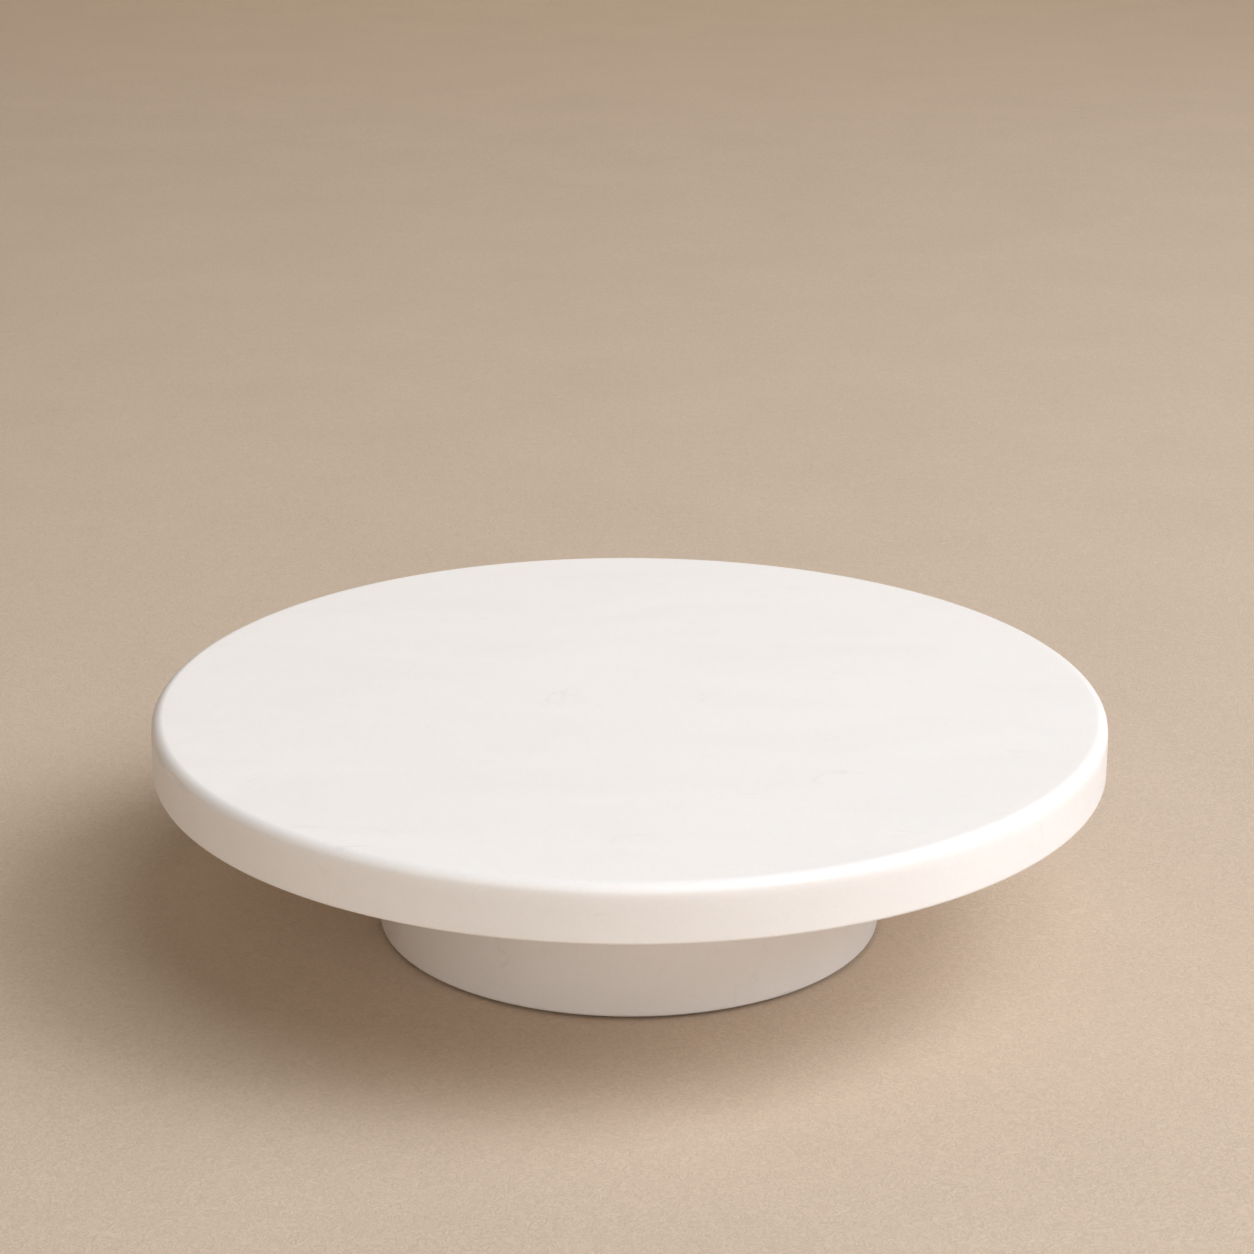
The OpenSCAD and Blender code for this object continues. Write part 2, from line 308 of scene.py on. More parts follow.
def turn(name, section, steps):
    """Draws a section in the XZ plane by extruding one vertex along it, and spins it around Z."""
    points = held(section)
    piece = added(bpy.ops.mesh.primitive_plane_add, size=MM)
    piece.name = piece.data.name = name
    bpy.ops.object.mode_set(mode="EDIT")
    bpy.ops.mesh.select_mode(type="VERT")
    bpy.ops.mesh.merge(type="CENTER")
    bpy.ops.transform.translate(value=(points[0][0], 0, points[0][1]))
    for a, b in zip(points, points[1:]):
        move = (b[0] - a[0], 0, b[1] - a[1])
        bpy.ops.mesh.extrude_vertices_move(TRANSFORM_OT_translate={"value": move})
    bpy.ops.mesh.select_all(action="SELECT")
    bpy.ops.mesh.spin(steps=steps, angle=FULL_TURN, center=(0, 0, 0), axis=(0, 0, 1))
    bpy.ops.mesh.select_all(action="SELECT")
    bpy.ops.mesh.remove_doubles(threshold=0.002 * MM)
    bpy.ops.mesh.normals_make_consistent(inside=False)
    bpy.ops.object.mode_set(mode="OBJECT")
    return piece


def settle_here(piece):
    """Puts a piece's place, turn and size in its mesh, as it stands."""
    only(piece)
    bpy.ops.object.transform_apply(location=True, rotation=True, scale=True)
    return piece


def settle(piece, place=(0, 0, 0), turned=(0, 0, 0)):
    """Moves and turns a piece, and puts that in its mesh."""
    piece.location = place
    piece.rotation_euler = turned
    return settle_here(piece)


def copies(piece, angles):
    """Copies of a piece around the spin axis, each with its own mesh. The piece is the first."""
    made = [piece]
    for _ in angles[1:]:
        only(piece)
        bpy.ops.object.duplicate(linked=False)
        made.append(bpy.context.object)
    for each, angle in zip(made, angles):
        settle(each, turned=(0, 0, angle))
    return made


def joined(pieces, name):
    """Several pieces as one object."""
    bpy.ops.object.select_all(action="DESELECT")
    for each in pieces:
        each.select_set(True)
    bpy.context.view_layer.objects.active = pieces[0]
    bpy.ops.object.join()
    whole = bpy.context.object
    whole.name = whole.data.name = name
    return whole


def cut(piece, cutter, keep=False):
    """Takes one closed shape out of another."""
    only(piece)
    bpy.ops.object.modifier_add(type="BOOLEAN")
    boolean = piece.modifiers[-1]
    boolean.operation = "DIFFERENCE"
    boolean.solver = "EXACT"
    boolean.object = cutter
    bpy.ops.object.modifier_apply(modifier=boolean.name)
    if not piece.data.polygons:
        raise RuntimeError(f"nothing is left of {piece.name} after a cut")
    if not keep:
        bpy.data.objects.remove(cutter)
    return piece


def drill(radius, low, high, ring_radius, angles, steps=SMALL_STEPS):
    """A cutter of upright cylinders at several angles around the spin axis."""
    middle = (ring_radius, 0, (low + high) / 2)
    rod = added(
        bpy.ops.mesh.primitive_cylinder_add,
        vertices=steps, radius=radius, depth=high - low, location=middle,
    )
    return joined(copies(settle_here(rod), angles), "drill")


def finish_piece(piece, body, nodes, material, smooth=30):
    """Shades a piece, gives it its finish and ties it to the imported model."""
    only(piece)
    bpy.ops.object.shade_smooth_by_angle(angle=math.radians(smooth))
    piece.data.materials.clear()
    piece.data.materials.append(material)
    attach(piece, body)
    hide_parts(*nodes)
    return piece


# ---- Finishes ----


def add_node(tree, kind, inputs=None, **properties):
    """Adds a shader node, sets its properties, and sets or links its inputs by name or number."""
    node = tree.nodes.new("ShaderNode" + kind)
    for name, value in properties.items():
        setattr(node, name, value)
    for name, value in (inputs or {}).items():
        if isinstance(value, NodeSocket):
            tree.links.new(value, node.inputs[name])
        else:
            node.inputs[name].default_value = value
    return node


def new_material(name):
    """An empty material and its node tree."""
    material = bpy.data.materials.new(name)
    material.use_nodes = True
    material.node_tree.nodes.clear()
    return material, material.node_tree


def opaque(colour):
    """An RGBA from an RGB."""
    return (*colour, 1)


def honed_marble(name, shift):
    """Marble, honed: white crystalline stone with faint grey clouds and a few hair-fine veins. The
    hone leaves a satin face with tiny marks, and light goes a little way in before it comes out."""
    finish = bpy.context.scene.turntable_finish
    cloud_size, vein_size, vein_run, crystal_size = 76.9 * MM, 62.5 * MM, 35.7 * MM, 0.714 * MM
    mark_length, mark_depth, gloss_patch = 2 * MM, 0.012 * MM, 16.7 * MM
    material, tree = new_material(name)
    place = add_node(tree, "TexCoord").outputs["Object"]
    stone = add_node(tree, "Mapping", {"Vector": place, "Location": shift}).outputs["Vector"]
    # The bed of the stone lies aslant, and clouds and veins are drawn out along it
    bed = add_node(
        tree, "Mapping", {"Vector": stone, "Rotation": (0.3, 0.2, 0.35), "Scale": (1, 2.4, 1.6)}
    ).outputs["Vector"]
    clouds = add_node(
        tree, "TexNoise",
        {"Vector": bed, "Scale": 1 / cloud_size, "Detail": 6, "Roughness": 0.55, "Distortion": 0.5},
    )
    cloudy = add_node(
        tree, "MapRange",
        {"Value": clouds.outputs["Fac"], "From Min": 0.35, "From Max": 0.75},
        interpolation_type="SMOOTHSTEP",
    )
    ground = add_node(
        tree, "Mix",
        {0: cloudy.outputs["Result"], 6: opaque(finish.marble), 7: opaque(finish.marble_cloud)},
        data_type="RGBA",
    )
    # Veins are where another noise crosses its middle, so they wander. A slow noise fades them out
    wander = add_node(
        tree, "TexNoise",
        {"Vector": bed, "Scale": 1 / vein_size, "Detail": 6, "Roughness": 0.5, "Distortion": 0.8},
    )
    centred = add_node(tree, "Math", {0: wander.outputs["Fac"], 1: 0.5}, operation="SUBTRACT")
    distance = add_node(tree, "Math", {0: centred.outputs["Value"]}, operation="ABSOLUTE")
    line = add_node(
        tree, "MapRange",
        {"Value": distance.outputs["Value"], "From Min": 0.008, "From Max": 0},
        interpolation_type="SMOOTHSTEP",
    )
    fading = add_node(tree, "TexNoise", {"Vector": stone, "Scale": 1 / vein_run, "Detail": 3})
    kept = add_node(
        tree, "MapRange",
        {"Value": fading.outputs["Fac"], "From Min": 0.5, "From Max": 0.72, "To Max": 0.3},
        interpolation_type="SMOOTHSTEP",
    )
    vein = add_node(
        tree, "Math", {0: line.outputs["Result"], 1: kept.outputs["Result"]}, operation="MULTIPLY"
    )
    colour = add_node(
        tree, "Mix",
        {0: vein.outputs["Value"], 6: ground.outputs[2], 7: opaque(finish.marble_vein)},
        data_type="RGBA",
    )
    # The stone's crystals are each a touch lighter or darker than the next
    crystals = add_node(tree, "TexVoronoi", {"Vector": stone, "Scale": 1 / crystal_size})
    sparkle = add_node(tree, "RGBToBW", {"Color": crystals.outputs["Color"]})
    crystal_tone = add_node(
        tree, "MapRange", {"Value": sparkle.outputs["Val"], "To Min": 0.985, "To Max": 1.015}
    )
    shade = add_node(
        tree, "VectorMath",
        {0: colour.outputs[2], 1: crystal_tone.outputs["Result"]},
        operation="MULTIPLY",
    )
    # The hone's marks are a few microns deep, and the veins lie a hair lower than the ground
    marks = add_node(
        tree, "TexNoise",
        {"Vector": stone, "Scale": 1 / mark_length, "Detail": 3, "Roughness": 0.6, "Distortion": 2},
    )
    relief = add_node(
        tree, "Math", {0: marks.outputs["Fac"], 1: vein.outputs["Value"]}, operation="SUBTRACT"
    )
    bump = add_node(
        tree, "Bump", {"Height": relief.outputs["Value"], "Strength": 0.4, "Distance": mark_depth}
    )
    patch = add_node(tree, "TexNoise", {"Vector": stone, "Scale": 1 / gloss_patch, "Detail": 4})
    fac = patch.outputs["Fac"]
    gloss = add_node(
        tree, "MapRange",
        {"Value": fac, "From Min": 0.3, "From Max": 0.7, "To Min": 0.36, "To Max": 0.44},
    )
    shader = add_node(
        tree, "BsdfPrincipled",
        {
            "Base Color": shade.outputs["Vector"],
            "Roughness": gloss.outputs["Result"],
            "Normal": bump.outputs["Normal"],
            "IOR": 1.49,
            "Subsurface Weight": 0.2,
            "Subsurface Radius": (1, 0.8, 0.65),
            "Subsurface Scale": 3 * MM,
        },
    )
    add_node(tree, "OutputMaterial", {"Surface": shader.outputs["BSDF"]})
    return material


def turned_metal(name, colour, roughness, pitch, centred):
    """Bare metal from the lathe: fine rings that draw the highlight out across them. They run
    around the spin axis on a piece centred on it, and otherwise only around the piece's sides."""
    ring_depth, wear_size, wear = 0.01 * MM, 8.33 * MM, 0.06
    material, tree = new_material(name)
    place = add_node(tree, "TexCoord").outputs["Object"]
    split = add_node(tree, "SeparateXYZ", {0: place})
    across = add_node(tree, "CombineXYZ", {"X": split.outputs["X"], "Y": split.outputs["Y"]})
    reach = add_node(tree, "VectorMath", {0: across.outputs["Vector"]}, operation="LENGTH")
    along = add_node(
        tree, "Math",
        {0: reach.outputs["Value"], 1: 1 if centred else 0, 2: split.outputs["Z"]},
        operation="MULTIPLY_ADD",
    )
    rings = add_node(
        tree, "TexNoise",
        {"W": along.outputs["Value"], "Scale": 1 / pitch, "Detail": 2},
        noise_dimensions="1D",
    )
    bump = add_node(
        tree, "Bump", {"Height": rings.outputs["Fac"], "Strength": 0.4, "Distance": ring_depth}
    )
    patches = add_node(tree, "TexNoise", {"Vector": place, "Scale": 1 / wear_size, "Detail": 4})
    gloss = add_node(
        tree, "MapRange",
        {"Value": patches.outputs["Fac"], "To Min": roughness - wear, "To Max": roughness + wear},
    )
    tone = add_node(tree, "MapRange", {"Value": rings.outputs["Fac"], "To Min": 0.9, "To Max": 1.06})
    shade = add_node(
        tree, "VectorMath", {0: tuple(colour), 1: tone.outputs["Result"]}, operation="MULTIPLY"
    )
    shader = add_node(
        tree, "BsdfPrincipled",
        {
            "Base Color": shade.outputs["Vector"],
            "Metallic": 1,
            "Roughness": gloss.outputs["Result"],
            "Normal": bump.outputs["Normal"],
        },
    )
    add_node(tree, "OutputMaterial", {"Surface": shader.outputs["BSDF"]})
    return material


def worn(tree, colour, roughness, patch, detail, tone_spread, gloss_spread):
    """Colour and roughness that change slightly over patches of the given size."""
    place = add_node(tree, "TexCoord").outputs["Object"]
    wear = add_node(tree, "TexNoise", {"Vector": place, "Scale": 1 / patch, "Detail": detail})
    tone, gloss = (
        add_node(
            tree, "MapRange",
            {"Value": wear.outputs["Fac"], "To Min": middle - spread, "To Max": middle + spread},
        )
        for middle, spread in ((1, tone_spread), (roughness, gloss_spread))
    )
    shade = add_node(
        tree, "VectorMath", {0: tuple(colour), 1: tone.outputs["Result"]}, operation="MULTIPLY"
    )
    return shade.outputs["Vector"], gloss.outputs["Result"]


def smooth_metal(name, colour, roughness, mottle):
    """Polished or plated metal: even, with slight changes of gloss from handling."""
    material, tree = new_material(name)
    shade, gloss = worn(tree, colour, roughness, 2.5 * MM, 4, mottle, mottle)
    shader = add_node(
        tree, "BsdfPrincipled", {"Base Color": shade, "Metallic": 1, "Roughness": gloss}
    )
    add_node(tree, "OutputMaterial", {"Surface": shader.outputs["BSDF"]})
    return material


def moulded_polymer(name, colour, roughness, grain, depth, ior):
    """Rubber or nylon from a mould: a fine matt grain that the mould's spark-eroded face leaves,
    with a little dust in it."""
    material, tree = new_material(name)
    shade, gloss = worn(tree, colour, roughness, 11.1 * MM, 5, 0.15, 0.05)
    place = add_node(tree, "TexCoord").outputs["Object"]
    texture = add_node(tree, "TexNoise", {"Vector": place, "Scale": 1 / grain, "Detail": 3})
    bump = add_node(
        tree, "Bump", {"Height": texture.outputs["Fac"], "Strength": 0.5, "Distance": depth}
    )
    shader = add_node(
        tree, "BsdfPrincipled",
        {"Base Color": shade, "Roughness": gloss, "Normal": bump.outputs["Normal"], "IOR": ior},
    )
    add_node(tree, "OutputMaterial", {"Surface": shader.outputs["BSDF"]})
    return material


def studio_paper():
    """Background paper: matt, softly mottled, and embossed with a fine winding grain."""
    mottle_size, grain_size, grain_depth = 83.3 * MM, 2.63 * MM, 0.5 * MM
    material, tree = new_material("studio_paper")
    place = add_node(tree, "TexCoord").outputs["Object"]
    mottle = add_node(
        tree, "TexNoise", {"Vector": place, "Scale": 1 / mottle_size, "Detail": 6}
    ).outputs["Fac"]
    grain = add_node(
        tree, "TexNoise", {"Vector": place, "Scale": 1 / grain_size, "Detail": 2, "Distortion": 2.5}
    ).outputs["Fac"]
    soft = add_node(tree, "MapRange", {"Value": mottle, "To Min": 0.95, "To Max": 1.05})
    fine = add_node(
        tree, "MapRange",
        {"Value": grain, "From Min": 0.35, "From Max": 0.65, "To Min": 0.93, "To Max": 1.07},
    )
    tone = add_node(
        tree, "Math", {0: soft.outputs["Result"], 1: fine.outputs["Result"]}, operation="MULTIPLY"
    )
    paper = tuple(bpy.context.scene.turntable_finish.paper)
    shade = add_node(tree, "VectorMath", {0: paper, 1: tone.outputs["Value"]}, operation="MULTIPLY")
    bump = add_node(tree, "Bump", {"Height": grain, "Strength": 0.4, "Distance": grain_depth})
    shader = add_node(
        tree, "BsdfPrincipled",
        {"Base Color": shade.outputs["Vector"], "Roughness": 0.9, "Normal": bump.outputs["Normal"]},
    )
    add_node(tree, "OutputMaterial", {"Surface": shader.outputs["BSDF"]})
    return material


# ---- Pieces ----

# Where the edges were knocked: degrees around, and each chip's length as a share of the longest
PLATE_CHIPS = (
    (197.5, 1.0), (206.5, 1.0), (213.5, 0.6), (219.7, 0.4),
    (281, 0.2), (334, 0.25), (12, 0.5), (71, 0.35), (133, 0.6),
)
DRUM_CHIPS = ((38, 0.3), (121, 0.5), (197, 0.25), (244, 0.3), (306, 0.4))


def chips(spots, radius, height, length, depth):
    """A cutter of long, uneven lumps around a stone's edge, which leave shallow chips."""
    unevenness, thick = 0.03, 1.5 * MM
    lumps = []
    for number, (angle, share) in enumerate(spots):
        lump = added(bpy.ops.mesh.primitive_ico_sphere_add, subdivisions=4, radius=1)
        bpy.ops.object.mode_set(mode="EDIT")
        bpy.ops.mesh.select_all(action="SELECT")
        bpy.ops.transform.vertex_random(offset=unevenness, seed=number)
        bpy.ops.object.mode_set(mode="OBJECT")
        # A long lump meets the edge at a slant. It reaches in past the edge's bend by the chip's depth
        half = length * share / 2
        deepest = half * half / (2 * radius) + depth * share
        lump.scale = (thick, 3 * half, (1.1 + 0.8 * share) * MM)
        lump.location = (radius + thick - deepest, 0, height)
        settle_here(lump)
        lumps.append(settle(lump, turned=(0, 0, math.radians(angle))))
    return joined(lumps, "chips")


class TURNTABLE_OT_plate(Operator):
    """Adds the stone plate, with its rounded top edge and the blind holes for its inserts"""

    bl_idname = "turntable.plate"
    bl_label = "Plate"

    def execute(self, context):
        stone = context.scene.turntable_stone
        fasteners = context.scene.turntable_fasteners
        edge, low, high = stone.plate_radius, stone.plate_low, stone.plate_high
        centre = (edge - stone.rounding * math.sin(stone.rounding_turn), high - stone.rounding)
        crease = high - stone.rounding * (1 - math.cos(stone.rounding_turn))
        # The honed rounding leaves its arc early and fades into the side, some way below the crease
        arch = arc(centre, stone.rounding, 90, math.degrees(stone.run_out_turn), step=4)
        corner = (edge, arch[-1][1] - (edge - arch[-1][0]) / math.tan(stone.run_out_turn))
        section = [
            (0, high),
            *arch,
            *run_out(arch[-1], corner, (edge, crease - stone.run_out)),
            *arc((edge - stone.arris, low + stone.arris), stone.arris, 0, -90, step=9),
            (0, low),
        ]
        plate = turn("plate_slab", section, STONE_STEPS)
        ring_radius, angles = places("plate_insert")
        hole_top = heights("plate_insert_1")[1] + fasteners.hole_spare
        hole_radius = half_width("plate_insert_1") + fasteners.glue_gap
        cut(plate, drill(hole_radius, low - MM, hole_top, ring_radius, angles))
        chip_height = crease + stone.chip_rise
        cut(plate, chips(PLATE_CHIPS, edge, chip_height, stone.chip_length, stone.chip_depth))
        marble = honed_marble("honed_white_marble_plate", (0, 0, 0))
        finish_piece(plate, "platter", ["top_plate"], marble, smooth=8)
        return {"FINISHED"}


class TURNTABLE_OT_drum(Operator):
    """Adds the stone drum, with its bore, the bearing's recess and the pockets for its feet"""

    bl_idname = "turntable.drum"
    bl_label = "Drum"

    def execute(self, context):
        stone = context.scene.turntable_stone
        fasteners = context.scene.turntable_fasteners
        edge, bore, arris = stone.drum_radius, stone.bore_radius, stone.arris
        low, high = stone.drum_low, stone.drum_high
        recess = radii("outer_race")[1] + stone.race_gap
        section = [
            (bore + stone.bore_chamfer, low),
            *arc((edge - arris, low + arris), arris, -90, 0, step=9),
            *arc((edge - arris, high - arris), arris, 0, 90, step=9),
            (recess + stone.recess_chamfer, high),
            (recess, high - stone.recess_chamfer),
            (recess, stone.seat),
            (bore, stone.seat),
            (bore, low + stone.bore_chamfer),
            (bore + stone.bore_chamfer, low),
        ]
        drum = turn("drum_shell", section, STONE_STEPS)
        ring_radius, angles = places("base_insert")
        hole_bottom = heights("base_insert_1")[0] - fasteners.hole_spare
        hole_radius = half_width("base_insert_1") + fasteners.glue_gap
        cut(drum, drill(hole_radius, hole_bottom, stone.seat + MM, ring_radius, angles))
        foot_radius, foot_angles = places("foot")
        pocket_radius, pocket_top = half_width("foot_1") + stone.foot_gap, heights("foot_1")[1]
        cut(drum, drill(pocket_radius, low - MM, pocket_top, foot_radius, foot_angles, FOOT_STEPS))
        chip_height = low + 0.4 * arris
        cut(drum, chips(DRUM_CHIPS, edge, chip_height, stone.chip_length, stone.chip_depth))
        marble = honed_marble("honed_white_marble_drum", (0.21, 0.13, 0.3))
        finish_piece(drum, "base", ["base_drum"], marble, smooth=12)
        return {"FINISHED"}


class TURNTABLE_OT_feet(Operator):
    """Adds the rubber feet, each with the small dimple that moulding leaves"""

    bl_idname = "turntable.feet"
    bl_label = "Feet"

    def execute(self, context):
        finish = context.scene.turntable_finish
        radius, (low, high) = half_width("foot_1"), heights("foot_1")
        edge, dimple, ease = 0.6 * MM, 2.2 * MM, 0.3 * MM
        section = [
            (0, low + ease),
            (dimple, low + ease),
            *arc((dimple + ease, low + ease), ease, 180, 270, step=30),
            *arc((radius - edge, low + edge), edge, -90, 0, step=15),
            (radius, high - ease),
            (radius - ease, high),
            (0, high),
        ]
        foot = turn("foot_pad_1", section, FOOT_STEPS)
        ring_radius, angles = places("foot")
        settle(foot, place=(ring_radius, 0, 0))
        rubber = moulded_polymer(
            "moulded_foot_rubber", finish.foot, 0.7, grain=0.15 * MM, depth=0.02 * MM, ior=1.52
        )
        for number, pad in enumerate(copies(foot, angles), 1):
            pad.name = pad.data.name = f"foot_pad_{number}"
            finish_piece(pad, "base", [f"foot_{number}"], rubber)
        return {"FINISHED"}


def ball_ring():
    """Radius of the balls' pitch circle, the balls' height, and a ball's radius."""
    inner, outer = radii("ball_cage")
    low, high = heights("bearing_balls")
    return (inner + outer) / 2, (low + high) / 2, (high - low) / 2


def ball_angles():
    """Angles of the balls around the spin axis."""
    count = bpy.context.scene.turntable_bearing.ball_count
    return [FULL_TURN * i / count for i in range(count)]


def groove_half_angle(wall):
    """Half of the arc, in degrees, that the balls' groove cuts into a race's wall."""
    gap = bpy.context.scene.turntable_bearing.groove_gap
    pitch, _, ball = ball_ring()
    return math.degrees(math.acos(abs(wall - pitch) / (ball + gap)))


def countersunk(radius, head, land, length, both_ends):
    """A cutter for a countersunk hole that starts at z = 0 and goes up."""
    cone = land + head - radius
    start = [(0, -MM), (head, -MM), (head, land), (radius, cone)]
    end = [(radius, length - cone), (head, length - land), (head, length + MM), (0, length + MM)]
    if not both_ends:
        end = [(radius, length + MM), (0, length + MM)]
    return turn("countersink", start + end, SMALL_STEPS)


def stand(piece, ring_radius, low, high, from_above):
    """Puts a piece drawn from z = 0 upwards into its race, from below or from above."""
    flip = math.pi if from_above else 0
    return settle(piece, place=(ring_radius, 0, high if from_above else low), turned=(flip, 0, 0))


def screw_cutter(screws, low, high, from_above):
    """The countersunk holes of a race's screws."""
    fasteners = bpy.context.scene.turntable_fasteners
    inner, outer = radii(screws)
    cutter = countersunk(
        fasteners.shank_radius + fasteners.screw_gap, (outer - inner) / 2 + fasteners.head_gap,
        fasteners.head_land, high - low, both_ends=False,
    )
    stand(cutter, (inner + outer) / 2, low, high, from_above)
    angles = places("base_insert" if from_above else "plate_insert")[1]
    return joined(copies(cutter, angles), "screw_holes")


def rivet_angles():
    """Angles of the rivets, two between each pair of screws."""
    screws = places("plate_insert")[1]
    between = FULL_TURN / len(screws)
    return [(i + third / 3) * between for i in range(len(screws)) for third in (1, 2)]


def lathe_aluminium():
    """Aluminium from the lathe, shared by the races."""
    known = bpy.data.materials.get("turned_aluminium")
    colour = bpy.context.scene.turntable_finish.aluminium
    return known or turned_metal("turned_aluminium", colour, 0.32, pitch=0.25 * MM, centred=True)


class TURNTABLE_OT_outer_race(Operator):
    """Adds the outer race, which is screwed to the drum"""

    bl_idname = "turntable.outer_race"
    bl_label = "Outer Race"

    def execute(self, context):
        bearing = context.scene.turntable_bearing
        (bore, edge), (low, high), c = radii("outer_race"), heights("outer_race"), bearing.chamfer
        pitch, ball_height, ball = ball_ring()
        half = groove_half_angle(bore)
        section = [
            (bore, low + c),
            *arc((pitch, ball_height), ball + bearing.groove_gap, -half, half),
            (bore, high - c), (bore + c, high), (edge - c, high),
            (edge, high - c), (edge, low + c), (edge - c, low), (bore + c, low), (bore, low + c),
        ]
        race = turn("outer_race_ring", section, RING_STEPS)
        cut(race, screw_cutter("base_screws", low, high, from_above=True))
        finish_piece(race, "base", ["outer_race"], lathe_aluminium())
        return {"FINISHED"}


class TURNTABLE_OT_inner_race(Operator):
    """Adds the two halves of the inner race, which turn with the plate"""

    bl_idname = "turntable.inner_race"
    bl_label = "Inner Race"

    def execute(self, context):
        bearing = context.scene.turntable_bearing
        fasteners = context.scene.turntable_fasteners
        bore, edge = radii("inner_race_upper")
        low, split = heights("inner_race_lower")
        high = heights("inner_race_upper")[1]
        pitch, _, ball = ball_ring()
        groove, half = ball + bearing.groove_gap, groove_half_angle(edge)
        c, bevel = bearing.chamfer, bearing.split_bevel
        upper = [
            (bore + bevel, split), *arc((pitch, split), groove, 180, 180 - half),
            (edge, high - c), (edge - c, high), (bore + c, high), (bore, high - c),
            (bore, split + bevel), (bore + bevel, split),
        ]
        lower = [
            (bore + bevel, split), *arc((pitch, split), groove, 180, 180 + half),
            (edge, low + c), (edge - c, low), (bore + c, low), (bore, low + c),
            (bore, split - bevel), (bore + bevel, split),
        ]
        screws = screw_cutter("plate_screws", low, high, from_above=False)
        inner, outer = radii("race_rivets")
        rivets = countersunk(
            fasteners.rivet_radius + fasteners.rivet_gap, (outer - inner) / 2 + fasteners.rivet_gap,
            fasteners.head_land, high - low, both_ends=True,
        )
        settle(rivets, place=((inner + outer) / 2, 0, low))
        rivets = joined(copies(rivets, rivet_angles()), "rivet_holes")
        for name, section, last in (("upper", upper, False), ("lower", lower, True)):
            race = turn(f"inner_race_{name}_half", section, RING_STEPS)
            cut(race, screws, keep=not last)
            cut(race, rivets, keep=not last)
            node = f"inner_race_{name}"
            finish_piece(race, "platter", [node], lathe_aluminium())
        return {"FINISHED"}


class TURNTABLE_OT_cage(Operator):
    """Adds the nylon cage that spaces the balls"""

    bl_idname = "turntable.cage"
    bl_label = "Ball Cage"

    def execute(self, context):
        bearing = context.scene.turntable_bearing
        (inner, outer), (low, high) = radii("ball_cage"), heights("ball_cage")
        pitch, ball_height, ball = ball_ring()
        section = rounded(inner, outer, low, high, bearing.cage_edge, step=30)
        cage = turn("ball_cage_ring", section, RING_STEPS)
        pocket = added(
            bpy.ops.mesh.primitive_cylinder_add,
            vertices=SMALL_STEPS, radius=ball + bearing.pocket_gap, depth=2 * (outer - inner),
            location=(pitch, 0, ball_height), rotation=(0, math.pi / 2, 0),
        )
        cut(cage, joined(copies(settle_here(pocket), ball_angles()), "pockets"))
        finish = context.scene.turntable_finish
        nylon = moulded_polymer(
            "moulded_nylon", finish.nylon, 0.45, grain=0.3 * MM, depth=0.01 * MM, ior=1.53
        )
        finish_piece(cage, "ball_set", ["ball_cage"], nylon)
        return {"FINISHED"}


class TURNTABLE_OT_balls(Operator):
    """Adds the ring of steel balls"""

    bl_idname = "turntable.balls"
    bl_label = "Balls"

    def execute(self, context):
        pitch, ball_height, ball = ball_ring()
        first = added(bpy.ops.mesh.primitive_cube_add, size=ball, location=(pitch, 0, ball_height))
        bpy.ops.object.mode_set(mode="EDIT")
        bpy.ops.mesh.select_all(action="SELECT")
        bpy.ops.mesh.subdivide(number_cuts=9)
        bpy.ops.object.mode_set(mode="OBJECT")
        bpy.ops.object.modifier_add(type="CAST")
        cast = first.modifiers[-1]
        cast.factor = 1
        cast.use_radius_as_size = False
        cast.size = ball
        bpy.ops.object.modifier_apply(modifier=cast.name)
        settle_here(first)
        balls = joined(copies(first, ball_angles()), "ball_ring")
        colour = context.scene.turntable_finish.ball_steel
        steel = smooth_metal("polished_ball_steel", colour, roughness=0.1, mottle=0.03)
        finish_piece(balls, "ball_set", ["bearing_balls"], steel, smooth=60)
        return {"FINISHED"}


class TURNTABLE_OT_rivets(Operator):
    """Adds the rivets that hold the two halves of the inner race together"""

    bl_idname = "turntable.rivets"
    bl_label = "Rivets"

    def execute(self, context):
        fasteners = context.scene.turntable_fasteners
        (inner, outer), (low, high) = radii("race_rivets"), heights("race_rivets")
        head, shank, land = (outer - inner) / 2, fasteners.rivet_radius, fasteners.head_land
        cone, ease = land + head - shank, fasteners.head_ease
        rim = [(head - ease, low), (head, low + ease), (head, low + land)]
        bottom = [(0, low), *rim, (shank, low + cone)]
        top = [(r, low + high - z) for r, z in reversed(bottom)]
        rivet = turn("rivet", bottom + top, SMALL_STEPS)
        settle(rivet, place=((inner + outer) / 2, 0, 0))
        rivets = joined(copies(rivet, rivet_angles()), "race_rivet_set")
        colour = context.scene.turntable_finish.rivet
        metal = smooth_metal("pressed_rivet_aluminium", colour, roughness=0.38, mottle=0.08)
        finish_piece(rivets, "platter", ["race_rivets"], metal)
        return {"FINISHED"}


